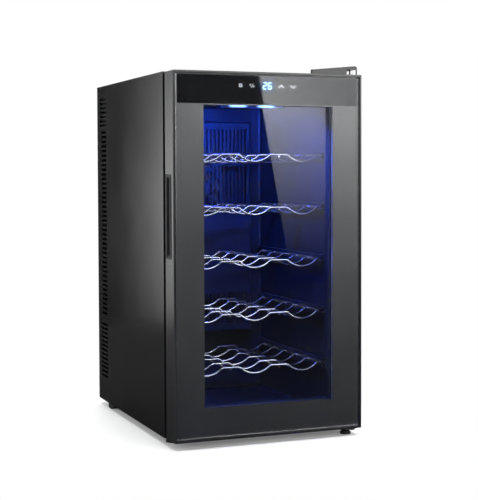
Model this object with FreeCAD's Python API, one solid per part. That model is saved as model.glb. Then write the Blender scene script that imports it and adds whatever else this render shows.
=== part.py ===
import FreeCAD, Part
import math
import os
from FreeCAD import Vector

# Free-standing thermoelectric wine cooler for 18 bottles, in millimetres, +Z up.
# Lengths run from the door's front face (y = 0) back to the mains inlet (y = DEPTH); save() moves
# every piece so that the origin is on the floor under the middle of the cooler.

# ---------------------------------------------------------------- case
WIDTH = 345.0
DEPTH = 488.0
CASE_BOTTOM = 12.0
CASE_TOP = 630.0
CASE_FRONT = 54.0
CASE_REAR = 472.0
SHEET = 1.2
HALF = WIDTH / 2
INSIDE_HALF = HALF - SHEET
INSIDE_BOTTOM = CASE_BOTTOM + SHEET
INSIDE_TOP = CASE_TOP - SHEET

# Side vents: louvres at the top and bottom, open slots between them. Heights are of their middles.
LOUVRE_FRONT = 405.0
LOUVRE_BACK = 453.0
LOUVRE_HEIGHT = 4.4
LOUVRE_PITCH = 8.5
LOUVRES = [604.8 - LOUVRE_PITCH * i for i in range(7)] + [163.6 - LOUVRE_PITCH * i for i in range(13)]
SLOT_FRONT = 408.0
SLOT_BACK = 443.0
SLOT_HEIGHT = 5.0
SLOTS = [539.8 - 9.07 * i for i in range(40)]

# Rear cover
COVER_HALF = 160.0
COVER_BOTTOM = 26.0
COVER_TOP = 616.0
COVER_BACK = 486.0
COVER_WALL = 1.5
COVER_RADIUS = 5.0
COVER_SCREWS = [(side * 166.0, z) for side in (-1, 1) for z in (40.0, 220.0, 420.0, 600.0)]
COVER_SCREW_RADIUS = 1.6
VENT_HALF = 27.0
VENT_HEIGHT = 4.5
VENT_PITCH = 9.0

# ---------------------------------------------------------------- cavity
CAVITY_HALF = 135.0
CAVITY_FLOOR = 31.0
CAVITY_CEILING = 590.0
CAVITY_BACK = 368.0
LINER_WALL = 2.0
LINER_HALF = CAVITY_HALF + LINER_WALL
LINER_BOTTOM = CAVITY_FLOOR - LINER_WALL
LINER_TOP = CAVITY_CEILING + LINER_WALL
LINER_BACK = CAVITY_BACK + LINER_WALL
COMPARTMENT_FRONT = 400.0
DRAIN_RADIUS = 4.5
DRAIN_BORE = 3.3
DRAIN_Y = 356.0
LAMP_Y = 92.0
LAMP_HALF = 62.0
LAMP_DEPTH_HALF = 13.0
LAMP_WALL = 4.0
LAMP_HEIGHT = 12.0

# Shelves. A shelf's height is that of its troughs: the middle of the wire at its lowest point.
BOTTLE_RADIUS = 37.5
BOTTLE_PITCH = 91.0
BOTTLES_ACROSS = 3
SHELF_HEIGHTS = [110.0 + 92.5 * i for i in range(5)]
SHELF_FRONT = 72.5
SHELF_BACK = 327.5
SHELF_WAVES = 6
SHELF_ROD_X = 127.0
SHELF_ROD_RADIUS = 2.5
WAVE_RADIUS = 2.0
WAVE_RISE = 12.0
CREST_BEND = 8.0
TIE_RADIUS = 1.75
RAIL_FRONT = 62.0
RAIL_BACK = 362.0
RAIL_INNER = 124.0
RAIL_GAP = 0.4

# ---------------------------------------------------------------- cooling unit and electrics
COOLER_Z = 430.0
BLOCK_HALF = 26.0
MODULE_THICK = 4.0
FIN_PITCH = 6.0
HOT_PLATE = 6.0
HOT_DEPTH = 30.0
SINK_SCREWS = [(side_x * 48.0, COOLER_Z + side_z * 67.0) for side_x in (-1, 1) for side_z in (-1, 1)]
SINK_SCREW_RADIUS = 2.0
# Fans: outer size, front and back of the frame.
HOT_FAN = (119.0, 431.4, 456.4)
COLD_FAN = (80.0, 336.3, 347.5)
FAN_COVER_HALF = 100.0
FAN_COVER_FRONT = 334.0
FAN_COVER_LOW = 150.0
FAN_COVER_HIGH = 560.0
SHAFT_RADIUS = 1.5
BOARD_FACE = COMPARTMENT_FRONT + 9.0
BOARD_POSTS = [(x, z) for x in (-57.0, 43.0) for z in (71.0, 151.0)]
INLET_X = 105.0
INLET_Z = 78.0
INLET_HALF = 14.0
INLET_PINS = ((-7.0, -1.0), (7.0, -1.0), (0.0, 3.5))

# ---------------------------------------------------------------- hinges and feet
HINGE_X = 163.0
HINGE_Y = 22.0
HINGE_PIN_RADIUS = 3.0
RUNNING_CLEARANCE = 0.05
HINGE_SCREWS = [(128.0, 92.0), (144.0, 70.0), (160.0, 92.0)]
HINGE_SCREW_RADIUS = 2.0
BRACKET_THICK = 2.5
BRACKET_BACK = 106.0
BOTTOM_ARM_LEFT = 135.0
TOP_ARM_LEFT = 150.0
TOP_ARM_RIGHT = 166.8
TOP_ARM_UNDER = 638.5
TOP_ARM_TOP = TOP_ARM_UNDER + BRACKET_THICK
CAP_LEFT = 79.0
CAP_RIGHT = 168.5
CAP_FRONT = 9.0
CAP_BACK = 108.0
CAP_BACK_LEFT = 128.0
CAP_TOP = 645.0
CAP_WALL = 2.0
BUSH_RADIUS = 7.0
BUSH_LENGTH = 23.0
LEFT_FOOT_X = -148.0
LEFT_FOOT_Y = 78.0
LEFT_FOOT_STEM = 4.0
RIGHT_FOOT_X = 152.5
RIGHT_FOOT_Y = 24.0
RIGHT_FOOT_STEM = 3.0
INSERT_RADIUS = 7.0
INSERT_TOP = 27.0

# ---------------------------------------------------------------- door
DOOR_THICK = 44.0
DOOR_BOTTOM = 12.8
DOOR_TOP = 629.2
DOOR_EDGE_RADIUS = 1.5
DOOR_STILE = 43.5
DOOR_LIP = 3.5
OPENING_HALF = HALF - DOOR_STILE
OPENING_BOTTOM = DOOR_BOTTOM + DOOR_STILE
OPENING_TOP = 584.0
GLASS_GAP = 2.0
GLASS_THICK = 4.0
GLASS_FRONT = 0.6
GLASS_BACK = GLASS_FRONT + GLASS_THICK
GLASS_HALF = HALF - DOOR_LIP - GLASS_GAP
GLASS_BOTTOM = DOOR_BOTTOM + DOOR_LIP + GLASS_GAP
GLASS_TOP = DOOR_TOP - DOOR_LIP - GLASS_GAP
FILM_FRONT = GLASS_BACK + 0.05
REBATE = GLASS_BACK + 0.3
WINDOW_HALF = 118.0
WINDOW_BOTTOM = 66.5
WINDOW_TOP = 573.0
PANEL_HALF = 164.5
PANEL_BOTTOM = 575.0
PANEL_TOP = 622.7
KEY_MIDDLES = (-52.0, -30.0, 22.0, 44.0)
SPACER_WIDTH = 7.0
SPACER_DEPTH = 12.0
SPACER_GAP = 0.5
INNER_GLASS_FRONT = REBATE + SPACER_DEPTH
INNER_GLASS_BACK = INNER_GLASS_FRONT + GLASS_THICK
TRIM_WIDTH = 9.0
HANDLE_LOW = 317.0
HANDLE_HIGH = 457.6
HANDLE_FRONT = 11.5
HANDLE_BACK = 40.7
HANDLE_DEPTH = 17.0
HANDLE_SLOPE = 11.8
GASKET_WIDTH = 13.0
GASKET_INNER_HALF = 143.0
GASKET_LOW = 14.0
GASKET_HIGH = 613.0
GASKET_BACK = DOOR_THICK + 9.7
MAGNET_INSET = 2.5


# ---------------------------------------------------------------- helpers
def box(x0, x1, y0, y1, z0, z1):
    return Part.makeBox(x1 - x0, y1 - y0, z1 - z0, Vector(x0, y0, z0))


def block(half, y0, y1, z0, z1):
    """A box that is centred across the cooler."""
    return box(-half, half, y0, y1, z0, z1)


def rod_y(radius, x, y0, y1, z):
    return Part.makeCylinder(radius, y1 - y0, Vector(x, y0, z), Vector(0, 1, 0))


def rod_z(radius, x, y, z0, z1):
    return Part.makeCylinder(radius, z1 - z0, Vector(x, y, z0), Vector(0, 0, 1))


def through_z(radius, x, y):
    """A cutter that reaches through the whole height of the cooler."""
    return rod_z(radius, x, y, -1, CAP_TOP + 1)


def ring(outer_half, outer_z, inner_half, inner_z, y0, y1):
    """A flat picture frame facing along Y."""
    return block(outer_half, y0, y1, *outer_z).cut(block(inner_half, y0 - 1, y1 + 1, *inner_z))


def prism(corners, along):
    return Part.Face(Part.makePolygon(corners + corners[:1])).extrude(along)


def prism_x(points, x0, x1):
    """An outline in Y and Z, extruded along X."""
    return prism([Vector(x0, y, z) for y, z in points], Vector(x1 - x0, 0, 0))


def prism_y(points, y0, y1):
    """An outline in X and Z, extruded along Y."""
    return prism([Vector(x, y0, z) for x, z in points], Vector(0, y1 - y0, 0))


def prism_z(points, z0, z1):
    """An outline in X and Y, extruded along Z."""
    return prism([Vector(x, y, z0) for x, y in points], Vector(0, 0, z1 - z0))


def joined(shapes):
    return shapes[0].fuse(shapes[1:]).removeSplitter()


def group(shapes):
    return Part.makeCompound(shapes)


def rounded(shape, radius, wanted):
    """Fillet the edges whose middle point is wanted."""
    edges = [e for e in shape.Edges if wanted(e.valueAt((e.FirstParameter + e.LastParameter) / 2))]
    return shape.makeFillet(radius, edges)


def near(a, b):
    return abs(a - b) < 0.01


def mirrored(shape):
    return shape.mirror(Vector(0, 0, 0), Vector(1, 0, 0))


def save(node, shape):
    placed = shape.copy()
    placed.translate(Vector(0, -DEPTH / 2, 0))
    placed.exportStep("parts/" + node + ".step")


# ---------------------------------------------------------------- cabinet shell
def side_panel():
    """The left panel: a steel sheet with louvres above and below a column of open vent slots."""
    panel = box(-HALF, -INSIDE_HALF, CASE_FRONT, CASE_REAR, CASE_BOTTOM, CASE_TOP)
    cutters = [vent(LOUVRE_FRONT, LOUVRE_BACK, z, LOUVRE_HEIGHT) for z in LOUVRES]
    cutters += [vent(SLOT_FRONT, SLOT_BACK, z, SLOT_HEIGHT) for z in SLOTS]
    return panel.cut(group(cutters)).fuse([louvre_fin(z) for z in LOUVRES])


def vent(front, back, z, height):
    """A cutter for one slot through the left panel."""
    return box(-HALF - 1, -INSIDE_HALF + 1, front, back, z - height / 2, z + height / 2)


def louvre_fin(z):
    """The blade behind one louvre: it hangs from the slot's upper edge and slopes inward."""
    thick = 0.9
    reach = 4.0
    root = -INSIDE_HALF - 0.4
    top = z + LOUVRE_HEIGHT / 2
    foot = top - LOUVRE_HEIGHT
    tip = -INSIDE_HALF + reach
    outline = [(root, top + thick), (root, top), (tip, foot), (tip, foot + thick)]
    return prism_y(outline, LOUVRE_FRONT, LOUVRE_BACK)


def top_panel():
    return block(INSIDE_HALF, CASE_FRONT, CASE_REAR, INSIDE_TOP, CASE_TOP)


def base_pan():
    """The floor sheet, with holes for the left front foot and the drain."""
    pan = block(INSIDE_HALF, CASE_FRONT, CASE_REAR, CASE_BOTTOM, INSIDE_BOTTOM)
    foot_hole = through_z(LEFT_FOOT_STEM + RUNNING_CLEARANCE, LEFT_FOOT_X, LEFT_FOOT_Y)
    return pan.cut(foot_hole).cut(through_z(DRAIN_RADIUS, 0, DRAIN_Y))


def front_frame():
    """The steel ring that the door's magnets close on."""
    outer_z = (INSIDE_BOTTOM, INSIDE_TOP)
    inner_z = (LINER_BOTTOM, LINER_TOP)
    return ring(INSIDE_HALF, outer_z, LINER_HALF, inner_z, CASE_FRONT, CASE_FRONT + SHEET)


def pressed_pan(inset, front):
    """The rear cover's bulge with rounded edges, drawn in by inset all round."""
    half = COVER_HALF - inset
    low = COVER_BOTTOM + inset
    high = COVER_TOP - inset
    back = COVER_BACK - inset

    def outside_edge(p):
        return near(p.y, back) or (near(abs(p.x), half) and (near(p.z, low) or near(p.z, high)))

    return rounded(block(half, front, back, low, high), COVER_RADIUS - inset, outside_edge)


def rear_cover():
    """The pan over the machine compartment, with a flange all round and two fields of slots."""
    flange = block(INSIDE_HALF, CASE_REAR - SHEET, CASE_REAR, INSIDE_BOTTOM, INSIDE_TOP)
    cover = flange.fuse(pressed_pan(0, CASE_REAR - SHEET)).cut(pressed_pan(COVER_WALL, CASE_REAR - 10))
    fan_rows = [COOLER_Z - 90 + VENT_PITCH * row for row in range(21)]
    board_rows = [60 + VENT_PITCH * row for row in range(9)]
    cutters = [rear_slot(x, z) for x in (-72.0, 0.0, 72.0) for z in fan_rows]
    cutters += [rear_slot(x, z) for x in (-72.0, 0.0) for z in board_rows]
    cutters.append(inlet_box(0, INLET_HALF, COVER_BACK - 3, COVER_BACK + 1, 0, 10.3))
    for x, z in COVER_SCREWS:
        cutters.append(rod_y(COVER_SCREW_RADIUS, x, CASE_REAR - 3, CASE_REAR + 1, z))
    return cover.cut(group(cutters))


def rear_slot(x, z):
    """A cutter for one round-ended slot in the back of the cover."""
    radius = VENT_HEIGHT / 2
    front = COVER_BACK - 3
    back = COVER_BACK + 1
    middle = box(x - VENT_HALF, x + VENT_HALF, front, back, z - radius, z + radius)
    return middle.fuse([rod_y(radius, x + side * VENT_HALF, front, back, z) for side in (-1, 1)])


def pan_screw(x, y, z, radius, length):
    """A pan-head screw that goes in towards the front, its head on the face at y."""
    height = 1.2
    recess = y + height / 2
    arm = 1.4
    width = 0.3
    head = Part.makeCone(2.1 * radius, 1.6 * radius, height, Vector(x, y, z), Vector(0, 1, 0))
    cross = [box(x - arm, x + arm, recess, y + 2, z - width, z + width)]
    cross.append(box(x - width, x + width, recess, y + 2, z - arm, z + arm))
    return head.cut(group(cross)).fuse(rod_y(radius, x, y - length, y, z))


def rear_cover_screws():
    return group([pan_screw(x, CASE_REAR, z, COVER_SCREW_RADIUS, 8.0) for x, z in COVER_SCREWS])


def block_passage():
    """The square way from the cavity to the machine compartment, as a cutter."""
    return block(BLOCK_HALF, CAVITY_BACK - 1, DEPTH, COOLER_Z - BLOCK_HALF, COOLER_Z + BLOCK_HALF)


def rear_bulkhead():
    """The steel wall between the insulation and the machine compartment."""
    plate = block(INSIDE_HALF, COMPARTMENT_FRONT - SHEET, COMPARTMENT_FRONT, INSIDE_BOTTOM, INSIDE_TOP)
    return plate.cut(block_passage())


# ---------------------------------------------------------------- cavity
def inner_liner():
    """The moulded inner box, open at the front, with a pair of guide rails for every shelf."""
    outer = block(LINER_HALF, CASE_FRONT, LINER_BACK, LINER_BOTTOM, LINER_TOP)
    inner = block(CAVITY_HALF, 0, CAVITY_BACK, CAVITY_FLOOR, CAVITY_CEILING)
    inner = rounded(inner, 6.0, lambda p: not near(p.y, 0))
    flange_y = (CASE_FRONT + SHEET, CASE_FRONT + SHEET + LINER_WALL)
    flange_z = (CAVITY_FLOOR - 10, CAVITY_CEILING + 18)
    inner_z = (CAVITY_FLOOR - 1, CAVITY_CEILING + 1)
    flange = ring(CAVITY_HALF + 16, flange_z, CAVITY_HALF + 1, inner_z, *flange_y)
    liner = outer.fuse(flange).cut(inner)
    rails = []
    for low in SHELF_HEIGHTS:
        rails += shelf_rails(low + WAVE_RISE)
    drain = rod_z(DRAIN_BORE, 0, DRAIN_Y, 0, CAVITY_FLOOR + 1)
    return liner.fuse(rails).cut(block_passage()).cut(drain)


def shelf_rails(rod_level):
    """The ledge under a shelf's side rod, the rib over it and the stop behind it, on both walls."""
    ledge_thick = 5.0
    rib_thick = 4.0
    rib_width = 7.5
    wall = CAVITY_HALF + LINER_WALL / 2
    under = rod_level - SHELF_ROD_RADIUS - RAIL_GAP
    over = rod_level + SHELF_ROD_RADIUS + RAIL_GAP
    ledge = box(RAIL_INNER, wall, RAIL_FRONT, RAIL_BACK, under - ledge_thick, under)
    rib = box(CAVITY_HALF - rib_width, wall, RAIL_FRONT, RAIL_BACK, over, over + rib_thick)
    stop = box(RAIL_INNER + 0.5, wall, SHELF_BACK + 8, RAIL_BACK, under - 1, over + 1)
    one_side = ledge.fuse([rib, stop])
    return [one_side, mirrored(one_side)]


def insulation_foam():
    """Foamed-in insulation between the liner and the outer sheets."""
    front = CASE_FRONT + SHEET + LINER_WALL
    foam = block(INSIDE_HALF, front, COMPARTMENT_FRONT - SHEET, INSIDE_BOTTOM, INSIDE_TOP)
    core = block(LINER_HALF, 0, LINER_BACK, LINER_BOTTOM, LINER_TOP)
    drain = rod_z(DRAIN_RADIUS, 0, DRAIN_Y, 0, LINER_BOTTOM)
    insert = rod_z(INSERT_RADIUS, LEFT_FOOT_X, LEFT_FOOT_Y, 0, INSERT_TOP)
    return foam.cut(core).cut(group([block_passage(), drain, insert]))


def drain_tube():
    """Carries condensate from the liner's floor through the base."""
    return rod_z(DRAIN_RADIUS, 0, DRAIN_Y, 6.0, LINER_BOTTOM).cut(through_z(DRAIN_BORE, 0, DRAIN_Y))


def lamp_housing():
    """The tray under the cavity's ceiling, open below for the lens."""
    front = LAMP_Y - LAMP_DEPTH_HALF
    back = LAMP_Y + LAMP_DEPTH_HALF
    under = CAVITY_CEILING - LAMP_HEIGHT
    tray = block(LAMP_HALF, front, back, under, CAVITY_CEILING)
    tray = rounded(tray, 3.0, lambda p: near(p.z, under))
    roof = CAVITY_CEILING - 3
    return tray.cut(block(LAMP_HALF - LAMP_WALL, front + LAMP_WALL, back - LAMP_WALL, 0, roof))


def lamp_board():
    """The strip of light-emitting diodes: two groups of five on a narrow board."""
    board_top = CAVITY_CEILING - 3
    board_under = board_top - 1.6
    board = block(LAMP_HALF - 6, LAMP_Y - 7, LAMP_Y + 7, board_under, board_top)
    half = 2.5
    diodes = []
    for start in (-44.0, 10.0):
        for index in range(5):
            x = start + 7.0 * index
            diode_z = (board_under - 1.6, board_under + 0.1)
            diodes.append(box(x, x + 2 * half, LAMP_Y - half, LAMP_Y + half, *diode_z))
    return board.fuse(diodes)


def lamp_lens():
    """The frosted bar that closes the tray and stands out below it."""
    depth_half = LAMP_DEPTH_HALF - LAMP_WALL
    tray_bottom = CAVITY_CEILING - LAMP_HEIGHT
    lens_z = (tray_bottom - 4.5, tray_bottom + 2.5)
    lens = block(LAMP_HALF - LAMP_WALL, LAMP_Y - depth_half, LAMP_Y + depth_half, *lens_z)
    return rounded(lens, 1.5, lambda p: near(p.z, lens_z[0]))


def temperature_sensor():
    """A thermistor bulb in its clip on the left wall, between two shelves."""
    y = 300.0
    z = 345.0
    clip = box(-CAVITY_HALF, -CAVITY_HALF + 2, y - 8, y + 8, z - 7, z + 7)
    return clip.fuse(rod_y(2.2, -CAVITY_HALF + 3.2, y - 12, y + 12, z))


# ---------------------------------------------------------------- shelves
def wave_path(y, low):
    """The centreline of one wavy wire: a trough for every bottle, with flat crests between."""
    trough = BOTTLE_RADIUS + WAVE_RADIUS + 1.0
    turn = math.acos(1 - WAVE_RISE / (trough + CREST_BEND))
    crest = low + WAVE_RISE
    bend_x = (trough + CREST_BEND) * math.sin(turn)
    joint_x = trough * math.sin(turn)
    joint_z = low + trough * (1 - math.cos(turn))
    half_x = bend_x - CREST_BEND * math.sin(turn / 2)
    half_z = crest - CREST_BEND * (1 - math.cos(turn / 2))
    left = [(-bend_x, crest), (-half_x, half_z), (-joint_x, joint_z)]
    right = [(-x, z) for x, z in reversed(left)]
    edges = []
    last = Vector(-SHELF_ROD_X, y, crest)
    for column in range(BOTTLES_ACROSS):
        middle = (column - (BOTTLES_ACROSS - 1) / 2) * BOTTLE_PITCH
        p = [Vector(middle + x, y, z) for x, z in left + [(0, low)] + right]
        edges.append(Part.LineSegment(last, p[0]).toShape())
        for start in (0, 2, 4):
            edges.append(Part.Arc(p[start], p[start + 1], p[start + 2]).toShape())
        last = p[6]
    edges.append(Part.LineSegment(last, Vector(SHELF_ROD_X, y, crest)).toShape())
    return Part.Wire(edges)


def wave_wire(y, low):
    start = Vector(-SHELF_ROD_X, y, low + WAVE_RISE)
    circle = Part.Wire(Part.makeCircle(WAVE_RADIUS, start, Vector(1, 0, 0)))
    return wave_path(y, low).makePipeShell([circle], True, False)


def wire_shelf(low):
    """One welded wire shelf: wavy cross wires between two side rods, tied by rods under the crests."""
    crest = low + WAVE_RISE
    overhang = WAVE_RADIUS + 0.5
    weld = 0.55
    front = SHELF_FRONT - overhang
    back = SHELF_BACK + overhang
    step = (SHELF_BACK - SHELF_FRONT) / (SHELF_WAVES - 1)
    rods = [rod_y(SHELF_ROD_RADIUS, side * SHELF_ROD_X, front, back, crest) for side in (-1, 1)]
    waves = [wave_wire(SHELF_FRONT + step * i, low) for i in range(SHELF_WAVES)]
    tie_z = crest - WAVE_RADIUS - TIE_RADIUS + weld
    ties = [rod_y(TIE_RADIUS, side * BOTTLE_PITCH / 2, front, back, tie_z) for side in (-1, 1)]
    return rods[0].fuse(rods[1:] + waves + ties)


# ---------------------------------------------------------------- cooling unit
def finned(plate_half, plate_y, fin_y, count, fin_half, height):
    """A heat sink: a plate and a row of upright fins, each given by where its front and back are."""
    low = COOLER_Z - height / 2
    high = COOLER_Z + height / 2
    first = -FIN_PITCH * (count - 1) / 2
    pieces = [block(plate_half, *plate_y, low, high)]
    for index in range(count):
        x = first + FIN_PITCH * index
        pieces.append(box(x - fin_half, x + fin_half, *fin_y, low, high))
    return joined(pieces)


def cold_sink():
    """Finned aluminium plate on the cavity's back wall, its fins towards the front."""
    plate_y = (CAVITY_BACK - 4, CAVITY_BACK)
    fin_y = (CAVITY_BACK - 20, CAVITY_BACK - 3.5)
    return finned(50.0, plate_y, fin_y, 17, 0.6, 120.0)


def cold_block():
    """The aluminium block that carries heat from the cold sink through the foam to the module."""
    back = COMPARTMENT_FRONT - MODULE_THICK
    return block(BLOCK_HALF, CAVITY_BACK, back, COOLER_Z - BLOCK_HALF, COOLER_Z + BLOCK_HALF)


def peltier_module():
    """Two ceramic plates with the block of semiconductor legs between them."""
    front = COMPARTMENT_FRONT - MODULE_THICK
    plates = [block(20.0, y, y + 1, COOLER_Z - 20, COOLER_Z + 20) for y in (front, front + 3)]
    return joined(plates + [block(18.0, front + 1, front + 3, COOLER_Z - 18, COOLER_Z + 18)])


def hot_sink():
    """The large sink behind the bulkhead, its fins towards the rear cover."""
    plate_y = (COMPARTMENT_FRONT, COMPARTMENT_FRONT + HOT_PLATE)
    fin_y = (COMPARTMENT_FRONT + HOT_PLATE - 0.5, COMPARTMENT_FRONT + HOT_DEPTH)
    sink = finned(60.0, plate_y, fin_y, 20, 0.8, 150.0)
    return sink.cut(group([rod_y(SINK_SCREW_RADIUS, x, 0, DEPTH, z) for x, z in SINK_SCREWS]))


def sink_screws():
    """The long screws that hold the hot sink on the bulkhead."""
    face = COMPARTMENT_FRONT + HOT_DEPTH
    return group([pan_screw(x, face, z, SINK_SCREW_RADIUS, HOT_DEPTH - 0.1) for x, z in SINK_SCREWS])


def hub_radius(size):
    return size * 0.16


def fan_frame(size, front, back):
    """A square fan housing: four struts carry the motor plate, whose bore holds the rotor's shaft."""
    half = size / 2
    bore = half - 2.5
    corner = half - 5.0
    plate_back = front + 2
    frame = block(half, front, back, COOLER_Z - half, COOLER_Z + half)
    frame = rounded(frame, 5.0, lambda p: near(abs(p.x), half) and near(abs(p.z - COOLER_Z), half))
    frame = frame.cut(rod_y(bore, 0, front - 1, back + 1, COOLER_Z))
    strut = block(1.5, front, plate_back, COOLER_Z - bore - 1, COOLER_Z + bore + 1)
    struts = [strut.rotated(Vector(0, 0, COOLER_Z), Vector(0, 1, 0), angle) for angle in (45, 135)]
    frame = frame.fuse(struts + [rod_y(hub_radius(size), 0, front, plate_back, COOLER_Z)])
    holes = [rod_y(SHAFT_RADIUS + RUNNING_CLEARANCE, 0, front - 1, plate_back + 1, COOLER_Z)]
    for side_x in (-1, 1):
        for side_z in (-1, 1):
            holes.append(rod_y(1.9, side_x * corner, front - 1, back + 1, COOLER_Z + side_z * corner))
    return frame.cut(group(holes))


def fan_rotor(size, front, back):
    """A hub with seven pitched blades on its shaft."""
    count = 7
    pitch_angle = 50
    tip = size / 2 - 4.5
    hub = rod_y(hub_radius(size), 0, front + 2.5, back - 0.5, COOLER_Z)
    depth = back - front - 5
    middle = (front + back) / 2 + 0.8
    blade_bottom = COOLER_Z + hub_radius(size) - 2
    blade = block(0.8, middle - depth, middle + depth, blade_bottom, COOLER_Z + tip + 4)
    blade = blade.rotated(Vector(0, middle, COOLER_Z), Vector(0, 0, 1), pitch_angle)
    axis = (Vector(0, 0, COOLER_Z), Vector(0, 1, 0))
    blades = group([blade.rotated(*axis, 360.0 / count * index) for index in range(count)])
    swept = rod_y(tip, 0, middle - depth / 2, middle + depth / 2, COOLER_Z)
    shaft = rod_y(SHAFT_RADIUS, 0, front + 0.2, front + 3, COOLER_Z)
    return hub.fuse(blades.common(swept).Solids + [shaft])


def fan_cover():
    """The panel over the cold sink and fan, with three rows of vertical air slots."""
    wall = 2.0
    half = FAN_COVER_HALF
    slot_back = FAN_COVER_FRONT + wall + 0.2
    shell = block(half, FAN_COVER_FRONT, CAVITY_BACK, FAN_COVER_LOW, FAN_COVER_HIGH)
    shell = rounded(shell, 4.0, lambda p: near(p.y, FAN_COVER_FRONT))
    inside_z = (FAN_COVER_LOW + wall, FAN_COVER_HIGH - wall)
    inside = block(half - wall, FAN_COVER_FRONT + wall, DEPTH, *inside_z)
    slots = []
    for low, high in ((165.0, 225.0), (385.0, 475.0), (500.0, 545.0)):
        for index in range(23):
            x = -88 + 8.0 * index
            slots.append(box(x - 2, x + 2, FAN_COVER_FRONT - 1, slot_back, low, high))
    return shell.cut(inside).cut(group(slots))


# ---------------------------------------------------------------- electrics
def power_board():
    """The mains converter: a board with its transformer, choke, connector and capacitors on posts."""
    seat = BOARD_FACE - 0.2
    board = box(-62, 48, BOARD_FACE - 1.6, BOARD_FACE, 66, 156)
    transformer = box(-30, 0, seat, BOARD_FACE + 24, 96, 128)
    choke = box(10, 34, seat, BOARD_FACE + 16, 74, 92)
    connector = box(12, 40, seat, BOARD_FACE + 12, 132, 150)
    places = ((-50, 80), (-50, 100), (-38, 142), (18, 112))
    capacitors = [rod_y(6.0, x, seat, BOARD_FACE + 20, z) for x, z in places]
    posts = [rod_y(3.0, x, COMPARTMENT_FRONT, BOARD_FACE - 1.5, z) for x, z in BOARD_POSTS]
    return board.fuse([transformer, choke, connector] + capacitors + posts)


def power_board_cover():
    """The slotted box over the mains converter."""
    wall = 2.0
    back = COMPARTMENT_FRONT + 40
    outer = rounded(box(-70, 56, COMPARTMENT_FRONT, back, 58, 164), 4.0, lambda p: near(p.y, back))
    inside = box(-70 + wall, 56 - wall, 0, back - wall, 58 + wall, 164 - wall)
    slots = []
    for index in range(9):
        x = -51 + 11.0 * index
        slots.append(box(x - 2, x + 2, back - 4, back + 2, 80, 142))
    return outer.cut(inside).cut(group(slots))


def inlet_box(dx, half_x, y0, y1, dz, half_z):
    """A box whose middle is dx, dz from the middle of the mains inlet."""
    x = INLET_X + dx
    z = INLET_Z + dz
    return box(x - half_x, x + half_x, y0, y1, z - half_z, z + half_z)


def power_inlet():
    """A three-pin appliance inlet, screwed in the rear cover from outside."""
    flange_half = 25.0
    socket_half_z = 8.2

    def corner(p):
        return near(abs(p.x - INLET_X), flange_half) and not near(p.z, INLET_Z)

    flange = rounded(inlet_box(0, flange_half, COVER_BACK, DEPTH, 0, 11.5), 6.0, corner)
    body = inlet_box(0, INLET_HALF, COVER_BACK - 18, COVER_BACK + 0.5, 0, 10.2)
    socket = inlet_box(0, 12.0, COVER_BACK - 15, DEPTH + 1, 0, socket_half_z)
    socket = rounded(socket, 4.0, lambda p: near(p.z, INLET_Z + socket_half_z) and not near(p.x, INLET_X))
    holes = [rod_y(1.7, INLET_X + side * 20, COVER_BACK - 1, DEPTH + 1, INLET_Z) for side in (-1, 1)]
    pins = [inlet_box(x, 1.0, COVER_BACK - 16, DEPTH - 2.5, z, 2.0) for x, z in INLET_PINS]
    tags = [inlet_box(x, 2.0, COVER_BACK - 25, COVER_BACK - 17, z, 0.4) for x, z in INLET_PINS]
    return flange.fuse(body).cut(group([socket] + holes)).fuse(pins + tags)


# ---------------------------------------------------------------- feet
def foot_insert():
    """The threaded bush in the base for the left front foot."""
    bush = rod_z(INSERT_RADIUS, LEFT_FOOT_X, LEFT_FOOT_Y, INSIDE_BOTTOM, INSERT_TOP)
    return bush.cut(through_z(LEFT_FOOT_STEM + RUNNING_CLEARANCE, LEFT_FOOT_X, LEFT_FOOT_Y))


def front_left_foot():
    """A levelling foot: a wide sole, a nut to turn it by and the stem in the insert."""
    sole_radius = 14.0
    nut_top = CASE_BOTTOM - 0.6
    sole = rod_z(sole_radius, LEFT_FOOT_X, LEFT_FOOT_Y, 0, 3.0)
    pad = Part.makeCone(sole_radius, 11.5, 4.0, Vector(LEFT_FOOT_X, LEFT_FOOT_Y, 3.0))
    nut = rod_z(7.5, LEFT_FOOT_X, LEFT_FOOT_Y, 7.0, nut_top)
    stem = rod_z(LEFT_FOOT_STEM, LEFT_FOOT_X, LEFT_FOOT_Y, nut_top, INSERT_TOP - 2)
    return sole.fuse([pad, nut, stem])


def front_right_foot():
    """The levelling foot that screws into the bottom hinge bracket's arm."""
    sole_radius = 9.5
    sole = rod_z(sole_radius, RIGHT_FOOT_X, RIGHT_FOOT_Y, 0, 3.5)
    taper = Part.makeCone(sole_radius, 7.0, 2.0, Vector(RIGHT_FOOT_X, RIGHT_FOOT_Y, 3.5))
    stem = rod_z(RIGHT_FOOT_STEM, RIGHT_FOOT_X, RIGHT_FOOT_Y, 5.5, CASE_BOTTOM - 0.5)
    return sole.fuse([taper, stem])


def rear_feet():
    """Two moulded wedges under the rear corners, flat at the back and sloping up to the front."""
    outline = [(418.0, CASE_BOTTOM), (418.0, 0.0), (400.0, 0.0), (364.0, CASE_BOTTOM)]
    wedge = prism_x(outline, -169.0, -147.0)
    wedge = rounded(wedge, 1.5, lambda p: not near(p.z, CASE_BOTTOM))
    return group([wedge, mirrored(wedge)])


# ---------------------------------------------------------------- hinges
def bracket_holes():
    """Cutters for a bracket's three screws and its hinge pin."""
    holes = [through_z(HINGE_SCREW_RADIUS, x, y) for x, y in HINGE_SCREWS]
    return group(holes + [through_z(HINGE_PIN_RADIUS, HINGE_X, HINGE_Y)])


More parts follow.
